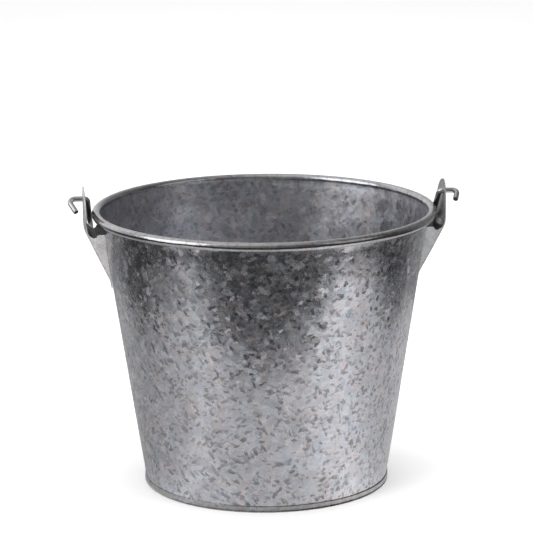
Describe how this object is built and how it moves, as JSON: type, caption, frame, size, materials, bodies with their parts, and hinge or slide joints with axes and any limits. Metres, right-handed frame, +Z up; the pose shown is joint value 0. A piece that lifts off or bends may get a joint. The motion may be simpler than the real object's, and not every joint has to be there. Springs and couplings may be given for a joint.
{
  "type": "ice bucket",
  "caption": "Tapered galvanised sheet pail with a rolled rim, seamed bottom, leaf-shaped side ears and a swinging wire bail, used to chill bottles in ice.",
  "frame": {"origin": "centre of the foot ring on the surface the pail stands on", "axes": "+Z up, +X along the line through the two bail holes, and the bail hangs towards +Y at rest"},
  "size_m": [0.2842, 0.25, 0.2206],
  "materials": {
    "wall_zinc": "galvanised, spangled zinc",
    "rim_wire_steel": "drawn wire",
    "bottom_zinc": "galvanised, spangled zinc",
    "sealant": "matt seam sealant",
    "left_ear_zinc": "smooth galvanised sheet",
    "right_ear_zinc": "smooth galvanised sheet",
    "bail_wire": "zinc-coated wire with bare cut ends"
  },
  "bodies": {
    "pail": {"wall": "wall_zinc", "rim_wire": "rim_wire_steel", "bottom": "bottom_zinc", "seam_sealant": "sealant", "left_ear": "left_ear_zinc", "right_ear": "right_ear_zinc"},
    "bail": {"bail": "bail_wire"}
  },
  "joints": [
    {"name": "bail_swing", "type": "hinge", "parent": "pail", "child": "bail", "pos_m": [0, 0, 0.2122], "axis": [1, 0, 0], "range_deg": [0, 274.7]}
  ]
}
